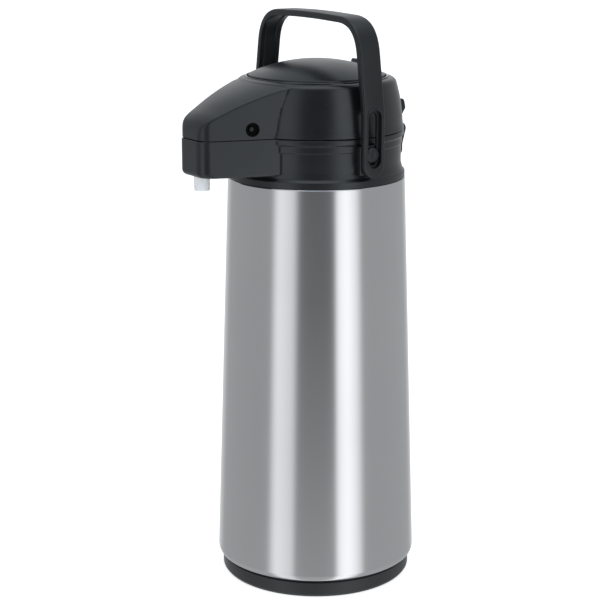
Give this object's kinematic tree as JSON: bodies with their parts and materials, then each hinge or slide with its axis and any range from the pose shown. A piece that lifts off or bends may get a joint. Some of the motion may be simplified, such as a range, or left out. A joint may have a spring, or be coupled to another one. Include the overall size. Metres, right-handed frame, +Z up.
{
  "type": "thermal coffee airpot",
  "caption": "Tall tapered steel vacuum pot with a black pump lid, a forward spout housing with a clear nozzle and a sliding bail handle.",
  "frame": {"origin": "centre of the foot, on the surface the pot stands on", "axes": "+Z up along the pot, -Y towards the spout and nozzle, +Y towards the lid hinge, +X and -X along the handle pins"},
  "size_m": [0.1336, 0.1626, 0.3778],
  "materials": {
    "brushed_shell": "vertical reflections on satin brushed stainless steel",
    "black_moulding": "fine-grained semi-matt black",
    "black_button": "satin black",
    "base_moulding": "semi-matt black",
    "clear_nozzle": "translucent",
    "silvered_glass": "silvered glass",
    "soft_seal": "food grade silicone",
    "cushion_rubber": "matt",
    "white_moulding": "natural polypropylene",
    "bellows_skin": "soft grey",
    "bright_steel": "bright"
  },
  "bodies": {
    "pot": {"outer_shell": "brushed_shell", "base_ring": "base_moulding", "bottom_plug": "base_moulding", "liner_cushion": "cushion_rubber", "liner_outer": "silvered_glass", "liner_inner": "silvered_glass", "neck_gasket": "soft_seal", "collar": "black_moulding", "siphon_gasket": "soft_seal", "siphon_plate": "white_moulding", "tube_clamp": "white_moulding", "dip_tube": "white_moulding", "gooseneck": "white_moulding", "nozzle_seal": "soft_seal", "nozzle": "clear_nozzle", "latch_spring": "bright_steel", "hinge_pin": "bright_steel"},
    "latch_left": {"latch_button_left": "bright_steel"},
    "latch_right": {"latch_button_right": "bright_steel"},
    "lid": {"lid_cover": "black_moulding", "bezel_ring": "black_button", "pump_base": "white_moulding", "pump_screw_1": "bright_steel", "pump_screw_2": "bright_steel", "pump_screw_3": "bright_steel", "pump_screw_4": "bright_steel", "lid_gasket": "soft_seal", "air_flap": "soft_seal", "bellows": "bellows_skin", "return_spring": "bright_steel"},
    "button": {"push_button": "black_button", "plunger_plate": "white_moulding"},
    "lock": {"pump_lock": "black_button"},
    "handle_pins": {"handle_pin_left": "black_button", "handle_pin_right": "black_button", "pin_clip_left": "bright_steel", "pin_clip_right": "bright_steel"},
    "handle": {"handle": "black_moulding"}
  },
  "joints": [
    {"name": "lid_hinge", "type": "hinge", "parent": "pot", "child": "lid", "pos_m": [0, 0.0605, 0.298], "axis": [-1, 0, 0], "range_deg": [0, 20]},
    {"name": "button_press", "type": "slide", "parent": "lid", "child": "button", "axis": [0, 0, 1], "range_m": [-0.02, 0], "stiffness_N_per_m": 500, "springref_m": 0.01, "deforming": ["bellows", "return_spring"]},
    {"name": "pump_lock_slide", "type": "slide", "parent": "button", "child": "lock", "axis": [0, 1, 0], "range_m": [0, 0.006]},
    {"name": "latch_left_press", "type": "slide", "parent": "pot", "child": "latch_left", "axis": [-0.9481, 0.318, 0], "range_m": [0, 0.002], "stiffness_N_per_m": 900, "springref_m": -0.001},
    {"name": "latch_right_press", "type": "slide", "parent": "pot", "child": "latch_right", "axis": [0.9481, 0.318, 0], "range_m": [0, 0.002], "stiffness_N_per_m": 900, "springref_m": -0.001},
    {"name": "handle_swing", "type": "hinge", "parent": "pot", "child": "handle_pins", "pos_m": [0, 0, 0.2925], "axis": [-1, 0, 0], "range_deg": [0, 100]},
    {"name": "handle_slide", "type": "slide", "parent": "handle_pins", "child": "handle", "axis": [0, 0, 1], "range_m": [-0.023, 0.003]}
  ]
}
